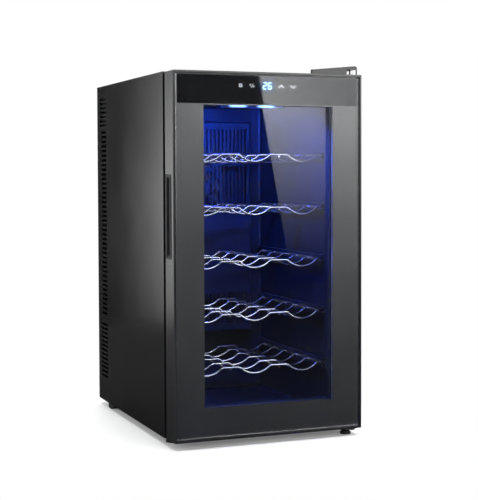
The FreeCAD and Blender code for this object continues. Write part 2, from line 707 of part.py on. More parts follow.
def bottom_hinge_bracket():
    """The steel plate under the cabinet whose front arm carries the door."""
    low = CASE_BOTTOM - BRACKET_THICK
    right = 171.5
    arm_front = 12.0
    plate = box(118.0, right, CASE_FRONT + 2, BRACKET_BACK, low, CASE_BOTTOM)
    arm = box(BOTTOM_ARM_LEFT, right, arm_front, CASE_FRONT + 3, low, CASE_BOTTOM)
    arm = rounded(arm, 7.0, lambda p: near(p.y, arm_front) and near(p.z, (low + CASE_BOTTOM) / 2))
    foot_hole = through_z(RIGHT_FOOT_STEM + RUNNING_CLEARANCE, RIGHT_FOOT_X, RIGHT_FOOT_Y)
    return plate.fuse(arm).cut(bracket_holes()).cut(foot_hole)


def bottom_hinge_pin():
    """The pin that the door stands on, with its head below the bracket."""
    under = CASE_BOTTOM - BRACKET_THICK
    pin = rod_z(HINGE_PIN_RADIUS, HINGE_X, HINGE_Y, under, 34.0)
    return pin.fuse(rod_z(6.5, HINGE_X, HINGE_Y, under - 3, under))


def top_hinge_bracket():
    """A cranked steel bracket: flat on the cabinet's top, then raised over the door."""
    left = 112.0
    front = CASE_FRONT + 4
    outline = [(left, front), (left, 70.0), (130.5, BRACKET_BACK)]
    outline += [(TOP_ARM_RIGHT, BRACKET_BACK), (TOP_ARM_RIGHT, front)]
    plate = prism_z(outline, CASE_TOP, CASE_TOP + BRACKET_THICK)
    riser = box(TOP_ARM_LEFT, TOP_ARM_RIGHT, front - 3, front, CASE_TOP, TOP_ARM_TOP)
    arm = box(TOP_ARM_LEFT, TOP_ARM_RIGHT, 14.0, front, TOP_ARM_UNDER, TOP_ARM_TOP)
    return plate.fuse([riser, arm]).cut(bracket_holes())


def top_hinge_pin():
    """The pin through the bracket's arm into the door, with a collar between the arm and the door."""
    pin = rod_z(HINGE_PIN_RADIUS, HINGE_X, HINGE_Y, 610.0, TOP_ARM_TOP)
    return pin.fuse(rod_z(3.8, HINGE_X, HINGE_Y, DOOR_TOP + 0.4, TOP_ARM_UNDER))


def cap_right(inset):
    """The cap's right side, which has a thinner wall to clear the hinge arm."""
    return CAP_RIGHT - 0.75 * inset


def cap_plan(inset):
    """The cap from above: its left side runs back at a slant."""
    front = CAP_FRONT + inset
    back = CAP_BACK - inset
    right = cap_right(inset)
    slant_inset = 1.2 * inset
    front_left = (CAP_LEFT + slant_inset, front)
    back_left = (CAP_BACK_LEFT + slant_inset, back)
    return [front_left, (right, front), (right, back), back_left]


def cap_outline(inset):
    """The cap from the front: it rises from a low left end to a ridge near its right end."""
    left = (CAP_LEFT + 3.5, 636.9 - inset)
    ridge = (CAP_RIGHT - 3.5 - inset / 2, CAP_TOP - inset)
    shoulder = (cap_right(inset), 642.5 - inset / 4)
    return [(CAP_LEFT, CASE_TOP), left, ridge, shoulder, (cap_right(inset), CASE_TOP)]


def top_hinge_cover():
    """The wedge-shaped cap over the upper hinge, open in front and at the side where the pin is."""
    cap = prism_y(cap_outline(0), CAP_FRONT, CAP_BACK)
    cap = rounded(cap, 2.0, lambda p: near(p.y, CAP_FRONT) and p.z > CASE_TOP + 1)
    cap = cap.common(prism_z(cap_plan(0), CASE_TOP, CAP_TOP))
    hollow = prism_y(cap_outline(CAP_WALL), CAP_FRONT, CAP_BACK)
    hollow = hollow.common(prism_z(cap_plan(CAP_WALL), CASE_TOP, CAP_TOP))
    inside_front = CAP_FRONT + CAP_WALL
    front_mouth = box(148.0, CAP_RIGHT - 2.5, 0, inside_front + 1, CASE_TOP - 1, TOP_ARM_UNDER)
    side_mouth = box(CAP_RIGHT - 4, WIDTH, inside_front + 2, CASE_FRONT - 2, CASE_TOP - 1, TOP_ARM_UNDER)
    over_door = block(HALF, 0, CASE_FRONT, CASE_TOP - 1, CASE_TOP + 0.1)
    return cap.cut(hollow).cut(group([front_mouth, side_mouth, over_door]))


def hinge_screws():
    """Three screws for each hinge bracket, headed above the upper one and below the lower one."""
    head_height = 1.8
    wide = 3.8
    narrow = 3.0
    under = CASE_BOTTOM - BRACKET_THICK
    over = CASE_TOP + BRACKET_THICK
    screws = []
    for x, y in HINGE_SCREWS:
        top_head = Part.makeCone(wide, narrow, head_height, Vector(x, y, over))
        low_head = Part.makeCone(narrow, wide, head_height, Vector(x, y, under - head_height))
        screws.append(top_head.fuse(rod_z(HINGE_SCREW_RADIUS, x, y, CASE_TOP, over)))
        screws.append(low_head.fuse(rod_z(HINGE_SCREW_RADIUS, x, y, under, CASE_BOTTOM)))
    return group(screws)


def hinge_bush(z0):
    bush = rod_z(BUSH_RADIUS, HINGE_X, HINGE_Y, z0, z0 + BUSH_LENGTH)
    return bush.cut(through_z(HINGE_PIN_RADIUS + RUNNING_CLEARANCE, HINGE_X, HINGE_Y))


# ---------------------------------------------------------------- door frame
def door_frame():
    """The whole moulded frame, before it is divided into stiles and rails."""
    slab = block(HALF, 0, DOOR_THICK, DOOR_BOTTOM, DOOR_TOP)
    slab = slab.makeFillet(DOOR_EDGE_RADIUS, slab.Edges)
    opening = block(OPENING_HALF, -1, DOOR_THICK + 1, OPENING_BOTTOM, OPENING_TOP)
    rebate = block(HALF - DOOR_LIP, -1, REBATE, DOOR_BOTTOM + DOOR_LIP, DOOR_TOP - DOOR_LIP)
    low_bush = rod_z(BUSH_RADIUS, HINGE_X, HINGE_Y, DOOR_BOTTOM - 1, DOOR_BOTTOM + BUSH_LENGTH)
    top_bush = rod_z(BUSH_RADIUS, HINGE_X, HINGE_Y, DOOR_TOP - BUSH_LENGTH, DOOR_TOP + 1)
    board_pocket = block(74.0, REBATE, 19.0, 588.0, 622.0)
    return slab.cut(group([opening, rebate])).cut(group([low_bush, top_bush])).cut(board_pocket)


def handle_outline(inset, floor):
    """The recess in the door's edge, seen from the front: its ends slope inward."""
    return [
        (-HALF - 1, HANDLE_LOW + inset),
        (-HALF, HANDLE_LOW + inset),
        (-HALF + floor, HANDLE_LOW + HANDLE_SLOPE + inset),
        (-HALF + floor, HANDLE_HIGH - HANDLE_SLOPE - inset),
        (-HALF, HANDLE_HIGH - inset),
        (-HALF - 1, HANDLE_HIGH - inset),
    ]


def handle_recess():
    return prism_y(handle_outline(0, HANDLE_DEPTH), HANDLE_FRONT, HANDLE_BACK)


def door_handle_stile(frame):
    """The left stile, with the recess for the handle cup and a rounded edge round it."""
    stile = frame.common(box(-HALF, -OPENING_HALF, 0, DOOR_THICK, DOOR_BOTTOM, DOOR_TOP))
    stile = stile.cut(handle_recess())
    return rounded(stile, 1.0, on_recess_rim)


def on_recess_rim(p):
    across = HANDLE_FRONT <= p.y <= HANDLE_BACK
    return near(p.x, -HALF) and across and HANDLE_LOW <= p.z <= HANDLE_HIGH


def door_hinge_stile(frame):
    return frame.common(box(OPENING_HALF, HALF, 0, DOOR_THICK, DOOR_BOTTOM, DOOR_TOP))


def door_rail(frame, low, high):
    """The part of the frame between the stiles, from one height to another."""
    return frame.common(block(OPENING_HALF, 0, DOOR_THICK, low, high))


def handle_cup():
    """The grip insert: a finger pocket behind a bar, and a narrow shadow groove in front of it."""
    setback = 0.5
    body = handle_recess().common(box(-HALF + setback, 0, 0, DOOR_THICK, HANDLE_LOW, HANDLE_HIGH))
    pocket = prism_y(handle_outline(4.0, HANDLE_DEPTH - 2.0), 23.0, 37.5)
    groove = prism_y(handle_outline(2.5, 8.0), HANDLE_FRONT + 1.2, HANDLE_FRONT + 6.0)
    return body.cut(group([pocket, groove]))


# ---------------------------------------------------------------- glazing and touch panel
def outer_glass():
    pane = block(GLASS_HALF, GLASS_FRONT, GLASS_BACK, GLASS_BOTTOM, GLASS_TOP)
    return rounded(pane, 0.5, lambda p: near(p.y, GLASS_FRONT))


def glass_print():
    """The black enamel border behind the outer glass, left open for the window and panel."""
    film = block(GLASS_HALF, FILM_FRONT, REBATE, GLASS_BOTTOM, GLASS_TOP)
    window = block(WINDOW_HALF, 0, DOOR_THICK, WINDOW_BOTTOM, WINDOW_TOP)
    panel = block(PANEL_HALF, 0, DOOR_THICK, PANEL_BOTTOM, PANEL_TOP)
    return film.cut(window).cut(panel)


def control_panel():
    """The touch film behind the glass, across the top of the door."""
    return block(PANEL_HALF, FILM_FRONT, REBATE, PANEL_BOTTOM, PANEL_TOP)


def control_board():
    """The touch and display board, with a sensing pad for each key and its connector and chip."""
    back = 12.0
    front = 10.4
    board = block(70.0, front, back, 591, 619)
    connector = box(-60, -44, back - 0.1, 16, 596, 604)
    chip = box(20, 30, back - 0.1, 14, 600, 610)
    pads = [box(x - 3, x + 3, REBATE, front + 0.1, 603, 609) for x in KEY_MIDDLES]
    return board.fuse([connector, chip] + pads)


def display_module():
    """The two-digit display block on the board."""
    return box(-15.6, 9.4, REBATE, 10.4, 597.8, 614.7)


def glazing_outline(inset):
    """Half width, bottom and top of the glazing behind the outer glass, drawn in by inset."""
    return OPENING_HALF - inset, (OPENING_BOTTOM + inset, OPENING_TOP - inset)


def glass_spacer():
    """The aluminium bar that keeps the two panes apart."""
    outside = glazing_outline(SPACER_GAP)
    inside = glazing_outline(SPACER_GAP + SPACER_WIDTH)
    return ring(*outside, *inside, REBATE, INNER_GLASS_FRONT)


def inner_glass():
    half, height = glazing_outline(SPACER_GAP)
    return block(half, INNER_GLASS_FRONT, INNER_GLASS_BACK, *height)


def door_inner_trim():
    """The plastic frame that holds the glazing in from behind."""
    return ring(*glazing_outline(0), *glazing_outline(TRIM_WIDTH), INNER_GLASS_BACK, DOOR_THICK - 2)


def gasket_ring(margin, y0, y1):
    """A ring of the seal's outline, narrowed by margin on both sides."""
    outer_z = (GASKET_LOW + margin, GASKET_HIGH - margin)
    inner_z = (GASKET_LOW + GASKET_WIDTH - margin, GASKET_HIGH - GASKET_WIDTH + margin)
    outer_half = GASKET_INNER_HALF + GASKET_WIDTH - margin
    return ring(outer_half, outer_z, GASKET_INNER_HALF + margin, inner_z, y0, y1)


def gasket_magnet():
    return gasket_ring(MAGNET_INSET, GASKET_BACK - 4, GASKET_BACK - 1)


def door_gasket():
    """The soft seal round the back of the door, with a channel for the magnetic strip."""
    bellows = gasket_ring(MAGNET_INSET, DOOR_THICK, GASKET_BACK)
    lips = gasket_ring(0, GASKET_BACK - 5, GASKET_BACK)
    return lips.fuse(bellows).cut(gasket_magnet())


# ---------------------------------------------------------------- build
def cabinet_pieces():
    left_panel = side_panel()
    return {
        "left_side_panel": left_panel,
        "right_side_panel": mirrored(left_panel),
        "top_panel": top_panel(),
        "base_pan": base_pan(),
        "front_frame": front_frame(),
        "rear_cover": rear_cover(),
        "rear_cover_screws": rear_cover_screws(),
        "rear_bulkhead": rear_bulkhead(),
        "inner_liner": inner_liner(),
        "insulation_foam": insulation_foam(),
        "drain_tube": drain_tube(),
        "lamp_housing": lamp_housing(),
        "lamp_board": lamp_board(),
        "lamp_lens": lamp_lens(),
        "temperature_sensor": temperature_sensor(),
        "cold_sink": cold_sink(),
        "cold_block": cold_block(),
        "peltier_module": peltier_module(),
        "hot_sink": hot_sink(),
        "sink_screws": sink_screws(),
        "hot_fan_frame": fan_frame(*HOT_FAN),
        "cold_fan_frame": fan_frame(*COLD_FAN),
        "fan_cover": fan_cover(),
        "power_board": power_board(),
        "power_board_cover": power_board_cover(),
        "power_inlet": power_inlet(),
        "foot_insert": foot_insert(),
        "rear_feet": rear_feet(),
        "bottom_hinge_bracket": bottom_hinge_bracket(),
        "bottom_hinge_pin": bottom_hinge_pin(),
        "top_hinge_bracket": top_hinge_bracket(),
        "top_hinge_pin": top_hinge_pin(),
        "top_hinge_cover": top_hinge_cover(),
        "hinge_screws": hinge_screws(),
    }


def door_pieces():
    frame = door_frame()
    return {
        "door_top_rail": door_rail(frame, OPENING_TOP, DOOR_TOP),
        "door_bottom_rail": door_rail(frame, DOOR_BOTTOM, OPENING_BOTTOM),
        "door_hinge_stile": door_hinge_stile(frame),
        "door_handle_stile": door_handle_stile(frame),
        "handle_cup": handle_cup(),
        "outer_glass": outer_glass(),
        "glass_print": glass_print(),
        "control_panel": control_panel(),
        "control_board": control_board(),
        "display_module": display_module(),
        "glass_spacer": glass_spacer(),
        "inner_glass": inner_glass(),
        "door_inner_trim": door_inner_trim(),
        "door_gasket": door_gasket(),
        "gasket_magnet": gasket_magnet(),
        "bottom_hinge_bush": hinge_bush(DOOR_BOTTOM),
        "top_hinge_bush": hinge_bush(DOOR_TOP - BUSH_LENGTH),
    }


def moving_pieces():
    pieces = {
        "hot_fan_rotor": fan_rotor(*HOT_FAN),
        "cold_fan_rotor": fan_rotor(*COLD_FAN),
        "front_left_foot": front_left_foot(),
        "front_right_foot": front_right_foot(),
    }
    for index, low in enumerate(SHELF_HEIGHTS):
        pieces["wire_shelf_%d" % (index + 1)] = wire_shelf(low)
    return pieces


os.makedirs("parts", exist_ok=True)
for pieces in (cabinet_pieces(), door_pieces(), moving_pieces()):
    for node, shape in pieces.items():
        save(node, shape)
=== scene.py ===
import math

import bmesh
import bpy
from mathutils import Matrix, Vector


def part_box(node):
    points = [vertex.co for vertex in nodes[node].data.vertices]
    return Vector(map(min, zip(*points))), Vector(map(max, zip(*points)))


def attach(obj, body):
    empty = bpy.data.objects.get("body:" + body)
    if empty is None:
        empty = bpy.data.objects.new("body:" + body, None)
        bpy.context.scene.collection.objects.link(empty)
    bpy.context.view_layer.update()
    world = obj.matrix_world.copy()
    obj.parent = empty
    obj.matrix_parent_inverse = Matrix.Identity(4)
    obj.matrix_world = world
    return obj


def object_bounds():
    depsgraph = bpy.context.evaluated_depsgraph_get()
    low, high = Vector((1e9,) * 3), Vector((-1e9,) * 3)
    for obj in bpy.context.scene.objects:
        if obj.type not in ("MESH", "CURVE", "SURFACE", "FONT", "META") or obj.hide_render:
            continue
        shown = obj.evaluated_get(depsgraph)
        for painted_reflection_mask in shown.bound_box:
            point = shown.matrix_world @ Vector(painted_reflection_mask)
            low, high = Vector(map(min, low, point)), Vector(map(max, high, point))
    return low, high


# Looks of a free-standing wine cooler: materials for every CAD node, the printed marks and lit digits
# of its touch panel, the blue cavity lamp, and a plain studio. Metres, +Z up, -Y out of the glass door.

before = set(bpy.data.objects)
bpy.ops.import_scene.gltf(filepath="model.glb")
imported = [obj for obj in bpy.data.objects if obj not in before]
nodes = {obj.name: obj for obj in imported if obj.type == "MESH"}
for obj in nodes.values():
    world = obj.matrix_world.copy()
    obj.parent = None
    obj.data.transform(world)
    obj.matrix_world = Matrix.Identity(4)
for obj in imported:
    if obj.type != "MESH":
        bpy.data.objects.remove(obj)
cad_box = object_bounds()
scene = bpy.context.scene
MM = 0.001
E = 2.718

glass_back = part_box("outer_glass")[1].y
lens_low, lens_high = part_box("lamp_lens")
display_low, display_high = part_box("display_module")
case_half_width, case_half_depth = cad_box[1][0], cad_box[1][1]


# ---------------------------------------------------------------- node helpers
class Shader:
    """A small wrapper that adds nodes to one material."""

    def __init__(self, name):
        self.material = bpy.data.materials.new(name)
        self.material.use_nodes = True
        self.tree = self.material.node_tree
        self.bsdf = self.tree.nodes["Principled BSDF"]
        self.output = self.tree.nodes["Material Output"]
        self.coords = self.add("ShaderNodeTexCoord").outputs["Object"]

    def add(self, kind, **inputs):
        node = self.tree.nodes.new(kind)
        for key, value in inputs.items():
            node.inputs[key.replace("_", " ")].default_value = value
        return node

    def link(self, source, target):
        self.tree.links.new(source, target)

    def drive(self, source, socket):
        """Feeds a socket of the Principled shader."""
        self.link(source, self.bsdf.inputs[socket])

    def set(self, **inputs):
        for key, value in inputs.items():
            self.bsdf.inputs[key.replace("_", " ")].default_value = value

    def mapped(self, stretch=(1, 1, 1)):
        """Object coordinates, stretched along each axis."""
        mapping = self.add("ShaderNodeMapping")
        mapping.inputs["Scale"].default_value = stretch
        self.link(self.coords, mapping.inputs["Vector"])
        return mapping.outputs["Vector"]

    def noise(self, scale, detail, stretch=(1, 1, 1)):
        node = self.add("ShaderNodeTexNoise", Scale=scale, Detail=detail)
        self.link(self.mapped(stretch), node.inputs["Vector"])
        return node.outputs["Fac"]

    def cells(self, scale):
        """Distance from the middle of the nearest of many uneven cells."""
        node = self.add("ShaderNodeTexVoronoi", Scale=scale)
        self.link(self.mapped(), node.inputs["Vector"])
        return node.outputs["Distance"]

    def ramp(self, source, low, high, start=0.3, stop=0.7):
        """A colour between low and high, following source."""
        node = self.add("ShaderNodeValToRGB")
        for element, place, colour in zip(node.color_ramp.elements, (start, stop), (low, high)):
            element.position = place
            element.color = (*colour, 1)
        self.link(source, node.inputs["Fac"])
        return node.outputs["Color"]

    def span(self, source, low, high, start=0.3, stop=0.7):
        """A number between low and high, following source."""
        node = self.add("ShaderNodeMapRange")
        for socket, value in (("From Min", start), ("From Max", stop), ("To Min", low), ("To Max", high)):
            node.inputs[socket].default_value = value
        self.link(source, node.inputs["Value"])
        return node.outputs["Result"]

    def math(self, operation, first, second=0.0):
        node = self.add("ShaderNodeMath")
        node.operation = operation
        for socket, value in zip(node.inputs, (first, second)):
            if isinstance(value, (int, float)):
                socket.default_value = value
            else:
                self.link(value, socket)
        return node.outputs["Value"]

    def product(self, first, *others):
        for other in others:
            first = self.math("MULTIPLY", first, other)
        return first

    def exponential(self, power):
        """E to the given power."""
        return self.math("POWER", E, power)

    def axis(self, name):
        split = self.add("ShaderNodeSeparateXYZ")
        self.link(self.coords, split.inputs["Vector"])
        return split.outputs[name]

    def offset(self, name, middle, unit):
        """How far along an axis a point lies from middle, counted in units."""
        return self.math("DIVIDE", self.math("SUBTRACT", self.axis(name), middle), unit)

    def bump(self, height, strength, distance):
        node = self.add("ShaderNodeBump", Strength=strength, Distance=distance)
        self.link(height, node.inputs["Height"])
        self.drive(node.outputs["Normal"], "Normal")


def clouded(name, base, roughness, spread=0.15, **sockets):
    """A surface with slow changes of gloss, and of colour where base is given."""
    shader = Shader(name)
    slow = shader.noise(9.0, detail=5.0)
    if base:
        darker = tuple(c * (1 - spread) for c in base)
        lighter = tuple(c * (1 + spread) for c in base)
        shader.drive(shader.ramp(slow, darker, lighter), "Base Color")
    shader.drive(shader.span(slow, *roughness), "Roughness")
    shader.set(**sockets)
    return shader


def grained(name, base, roughness, grain=900.0, bump=0.15, depth=0.2 * MM, **more):
    """A clouded surface with the fine grain of a moulding or a coat."""
    shader = clouded(name, base, roughness, **more)
    shader.bump(shader.noise(grain, detail=2.0), bump, depth)
    return shader


def reflected(tree):
    """1 for a ray that has been reflected or scattered on its way, 0 for one that comes straight."""
    path = tree.nodes.new("ShaderNodeLightPath")
    bounces = tree.nodes.new("ShaderNodeMath")
    bounces.operation = "ADD"
    bounces.use_clamp = True
    tree.links.new(path.outputs["Diffuse Depth"], bounces.inputs[0])
    tree.links.new(path.outputs["Glossy Depth"], bounces.inputs[1])
    return bounces.outputs["Value"]


def choose(tree, share, when_0, when_1):
    """One shader or the other, or a mix of the two where share is between 0 and 1."""
    mix = tree.nodes.new("ShaderNodeMixShader")
    tree.links.new(share, mix.inputs[0])
    tree.links.new(when_0, mix.inputs[1])
    tree.links.new(when_1, mix.inputs[2])
    return mix.outputs["Shader"]


# ---------------------------------------------------------------- materials
def coated_steel():
    """Black satin coat with a faint orange peel."""
    return grained(
        "coated_steel", base=(0.006, 0.006, 0.0065), roughness=(0.15, 0.18),
        grain=260.0, bump=0.03, depth=0.1 * MM, Specular_IOR_Level=0.32,
    ).material


def rear_steel():
    """The duller coat of the rear cover and the top."""
    return grained(
        "rear_steel", base=(0.018, 0.018, 0.019), roughness=(0.5, 0.6),
        grain=500.0, bump=0.25, Specular_IOR_Level=0.35,
    ).material


def zinc_steel():
    """Zinc-plated steel: mottled spangles on a bright metal."""
    shader = grained("zinc_steel", base=None, roughness=(0.28, 0.42), grain=1200.0, bump=0.1, Metallic=1.0)
    dull, bright = (0.34, 0.34, 0.36), (0.52, 0.52, 0.54)
    shader.drive(shader.ramp(shader.cells(220.0), dull, bright, start=0.0, stop=0.6), "Base Color")
    return shader.material


def hinge_black():
    return grained(
        "hinge_black", base=(0.02, 0.02, 0.021), roughness=(0.3, 0.42), bump=0.12, Metallic=0.4,
    ).material


def chrome():
    """Bright chrome plate with a faint grain."""
    return grained(
        "chrome", base=(0.86, 0.85, 0.86), roughness=(0.10, 0.2),
        grain=600.0, bump=0.03, spread=0.04, Metallic=1.0,
    ).material


def aluminium():
    """Extruded aluminium with lines along its height."""
    shader = clouded("aluminium", base=(0.6, 0.61, 0.63), roughness=(0.3, 0.45), Metallic=1.0)
    shader.bump(shader.noise(400.0, detail=3.0, stretch=(1, 1, 0.02)), 0.2, 0.1 * MM)
    return shader.material


def door_plastic():
    """Satin black moulding of the door frame."""
    return grained(
        "door_plastic", base=(0.010, 0.010, 0.011), roughness=(0.20, 0.23),
        bump=0.05, Specular_IOR_Level=0.5,
    ).material


def cup_plastic():
    return grained(
        "cup_plastic", base=(0.010, 0.010, 0.011), roughness=(0.42, 0.5), grain=1300.0, bump=0.2,
    ).material


def black_plastic():
    return grained(
        "black_plastic", base=(0.014, 0.014, 0.015), roughness=(0.45, 0.58), grain=1300.0, bump=0.25,
    ).material


def gloss_black():
    return grained(
        "gloss_black", base=(0.01, 0.01, 0.011), roughness=(0.12, 0.2),
        grain=1500.0, bump=0.03, Specular_IOR_Level=0.35,
    ).material


def liner_plastic():
    """Vacuum-formed dark liner, slightly uneven where the sheet was stretched."""
    return grained(
        "liner_plastic", base=(0.011, 0.0115, 0.014), roughness=(0.3, 0.45), grain=300.0, bump=0.05,
    ).material


def rubber():
    return grained(
        "rubber", base=(0.012, 0.012, 0.012), roughness=(0.7, 0.85), grain=1500.0, bump=0.4,
    ).material


def nylon():
    return grained(
        "nylon", base=(0.70, 0.69, 0.64), roughness=(0.4, 0.5), bump=0.1, Subsurface_Weight=0.15,
    ).material


def foam():
    """Cut polyurethane foam with its cells."""
    shader = clouded("foam", base=(0.72, 0.62, 0.38), roughness=(0.85, 0.95))
    shader.bump(shader.cells(900.0), 0.6, 0.6 * MM)
    return shader.material


def ceramic():
    return grained(
        "ceramic", base=(0.8, 0.8, 0.77), roughness=(0.5, 0.6), grain=1500.0, bump=0.2,
    ).material


def circuit_board():
    """Green solder mask over copper tracks."""
    shader = grained("circuit_board", base=None, roughness=(0.25, 0.35), bump=0.05)
    tracks = shader.add("ShaderNodeTexBrick", Scale=160.0)
    tracks.inputs["Color1"].default_value = (0.012, 0.11, 0.04, 1)
    tracks.inputs["Color2"].default_value = (0.014, 0.13, 0.05, 1)
    tracks.inputs["Mortar"].default_value = (0.05, 0.19, 0.06, 1)
    upright = shader.add("ShaderNodeMapping")
    upright.inputs["Rotation"].default_value = (math.pi / 2, 0, 0)
    shader.link(shader.coords, upright.inputs["Vector"])
    shader.link(upright.outputs["Vector"], tracks.inputs["Vector"])
    shader.drive(tracks.outputs["Color"], "Base Color")
    return shader.material


def pane(name, tint, ior):
    """A clear pane with slow changes of tint. Lamps shine through it, so that the cavity is lit."""
    shader = Shader(name)
    deeper = tuple(c * 0.97 for c in tint)
    shader.drive(shader.ramp(shader.noise(6.0, detail=3.0), deeper, tint), "Base Color")
    shader.set(Transmission_Weight=1.0, Roughness=0.0, IOR=ior)
    clear = shader.add("ShaderNodeBsdfTransparent")
    clear.inputs["Color"].default_value = (*[c * c for c in tint], 1)
    from_lamp = shader.add("ShaderNodeLightPath").outputs["Is Shadow Ray"]
    mixed = choose(shader.tree, from_lamp, shader.bsdf.outputs["BSDF"], clear.outputs["BSDF"])
    shader.link(mixed, shader.output.inputs["Surface"])
    return shader.material


def enamel():
    """The black printed border behind the outer glass."""
    return grained(
        "enamel", base=(0.006, 0.006, 0.0064), roughness=(0.29, 0.33),
        grain=1600.0, bump=0.02, spread=0.1, IOR=1.9,
    ).material


def touch_film():
    """The glossy film behind the panel: black, with a painted glow round the display that stands in for the
    light the lit digits throw on it.
    """
    half_width, half_height = 11.5 * MM, 9 * MM
    shader = clouded("touch_film", base=(0.010, 0.010, 0.0105), roughness=(0.02, 0.03), spread=0.1)
    middle = (display_low + display_high) / 2
    from_x = shader.offset("X", middle.x, half_width)
    from_z = shader.offset("Z", middle.z, half_height)
    away = shader.math("ADD", shader.product(from_x, from_x), shader.product(from_z, from_z))
    # Painted glow: the film itself emits blue light, strongest at the display's middle and fading outwards.
    painted_digit_glow = shader.exponential(shader.product(away, -1.6))
    shader.drive(shader.product(painted_digit_glow, 0.8), "Emission Strength")
    shader.set(Emission_Color=(0.01, 0.16, 0.65, 1))
    return shader.material


def lit(name, colour, strength):
    """A lit mark whose light is a little uneven, as over separate diodes."""
    spread = 0.12
    shader = Shader(name)
    uneven = shader.noise(500.0, detail=2.0)
    light = shader.span(uneven, strength * (1 - spread), strength * (1 + spread))
    shader.drive(light, "Emission Strength")
    shader.set(Base_Color=(*colour, 1), Emission_Color=(*colour, 1), Roughness=0.5)
    return shader.material


def lamp_lens():
    """The frosted lens of the cavity lamp, bright along two diode strips, most of all at its upper front."""
    strip_middle, strip_half = 26.5 * MM, 15.5 * MM
    lit_depth = 5 * MM
    brightness = 9.0
    shader = grained("lamp_lens", base=(0.04, 0.09, 0.5), roughness=(0.3, 0.4), bump=0.1)
    beside = shader.math("SUBTRACT", shader.math("ABSOLUTE", shader.axis("X")), strip_middle)
    squared_off = shader.math("POWER", shader.math("DIVIDE", beside, strip_half), 6.0)
    along = shader.exponential(shader.product(squared_off, -1.0))
    inward = shader.span(shader.axis("Y"), low=1.0, high=0.05, start=lens_low.y, stop=lens_low.y + lit_depth)
    upward = shader.span(shader.axis("Z"), low=0.10, high=1.0, start=lens_low.z, stop=lens_high.z)
    shader.drive(shader.product(along, inward, upward, brightness), "Emission Strength")
    shader.set(Emission_Color=(0.25, 0.5, 1.0, 1))
    return shader.material


def cad_materials():
    """Which material each CAD node wears."""
    shelves = " ".join(name for name in nodes if "wire_shelf" in name)
    fans = "hot_fan_frame hot_fan_rotor cold_fan_frame cold_fan_rotor "
    table = (
        (coated_steel(), "left_side_panel right_side_panel base_pan front_frame"),
        (rear_steel(), "rear_cover top_panel"),
        (zinc_steel(), "rear_cover_screws rear_bulkhead sink_screws"),
        (hinge_black(), "hinge_screws bottom_hinge_bracket top_hinge_bracket"),
        (chrome(), "bottom_hinge_pin top_hinge_pin " + shelves),
        (aluminium(), "cold_sink cold_block hot_sink glass_spacer"),
        (door_plastic(), "door_top_rail door_bottom_rail door_hinge_stile door_handle_stile"),
        (cup_plastic(), "handle_cup display_module"),
        (black_plastic(), fans + "power_board_cover power_inlet door_inner_trim"),
        (gloss_black(), "top_hinge_cover"),
        (liner_plastic(), "inner_liner fan_cover lamp_housing"),
        (rubber(), "door_gasket gasket_magnet front_left_foot front_right_foot rear_feet"),
        (nylon(), "drain_tube foot_insert bottom_hinge_bush top_hinge_bush temperature_sensor"),
        (foam(), "insulation_foam"),
        (ceramic(), "peltier_module"),
        (circuit_board(), "power_board control_board"),
        (pane("outer_glass", tint=(0.86, 0.87, 0.88), ior=1.12), "outer_glass"),
        (pane("inner_glass", tint=(0.92, 0.94, 0.95), ior=1.42), "inner_glass"),
        (enamel(), "glass_print"),
        (touch_film(), "control_panel"),
        (lamp_lens(), "lamp_lens"),
        (lit("lamp_diodes", colour=(0.5, 0.7, 1.0), strength=6.0), "lamp_board"),
    )
    return {name: material for material, names in table for name in names.split()}


def dress(wear):
    for name, node in nodes.items():
        node.data.materials.clear()
        node.data.materials.append(wear[name])


# ---------------------------------------------------------------- marks behind the glass
# Outlines of the marks are in millimetres, in X and Z of the frame.
MARK_FRONT = glass_back - 0.30 * MM
MARK_BACK = glass_back - 0.12 * MM
DIGIT_FOOT = display_low.z / MM + 3.2
DIGIT_LEFTS = (display_low.x / MM + 4.3, display_low.x / MM + 13.5)
DIGIT_WIDTH = 5.8
DIGIT_HEIGHT = 10.4
DIGIT_BAR = 1.5
DIGIT_LEAN = 0.08
BAR_GAP = 0.22
KEY_ROW = display_low.z / MM + 8.2
UP_MIDDLE = 22.0
DOWN_MIDDLE = 44.0
ARROW_HALF_WIDTH = 5.2
ARROW_RISE = 2.2
ARROW_DROP = -3.0
ARROW_WIDTH = 0.7
LAMP_MIDDLE = -52.0
LAMP_RADIUS = 2.4
SCALE_WIDTH = 0.6


def slabs(name, outlines, material):
    """Flat outlines made as one thin solid piece inside the glass."""
    mesh = bmesh.new()
    for outline in outlines:
        front = [mesh.verts.new((x * MM, MARK_FRONT, z * MM)) for x, z in outline]
        face = mesh.faces.new(front)
        grown = bmesh.ops.extrude_face_region(mesh, geom=[face])["geom"]
        moved = [v for v in grown if isinstance(v, bmesh.types.BMVert)]
        bmesh.ops.translate(mesh, verts=moved, vec=(0, MARK_BACK - MARK_FRONT, 0))
    bmesh.ops.recalc_face_normals(mesh, faces=mesh.faces)
    data = bpy.data.meshes.new(name)
    mesh.to_mesh(data)
    mesh.free()
    piece = bpy.data.objects.new(name, data)
    scene.collection.objects.link(piece)
    data.materials.append(material)
    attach(piece, "door")


def stroke(points, width):
    """Round-ended bars from point to point."""
    cap_steps = 6
    outlines = []
    for (x0, z0), (x1, z1) in zip(points, points[1:]):
        turn = math.atan2(z1 - z0, x1 - x0)
        outline = []
        for x, z, base in ((x1, z1, turn - math.pi / 2), (x0, z0, turn + math.pi / 2)):
            for step in range(cap_steps + 1):
                angle = base + math.pi * step / cap_steps
                outline.append((x + width / 2 * math.cos(angle), z + width / 2 * math.sin(angle)))
        outlines.append(outline)
    return outlines


def ring(x, z, radius, steps=18):
    """Points round a circle, the last on the first."""
    angles = [math.radians(360 * i / steps) for i in range(steps + 1)]
    return [(x + radius * math.cos(a), z + radius * math.sin(a)) for a in angles]


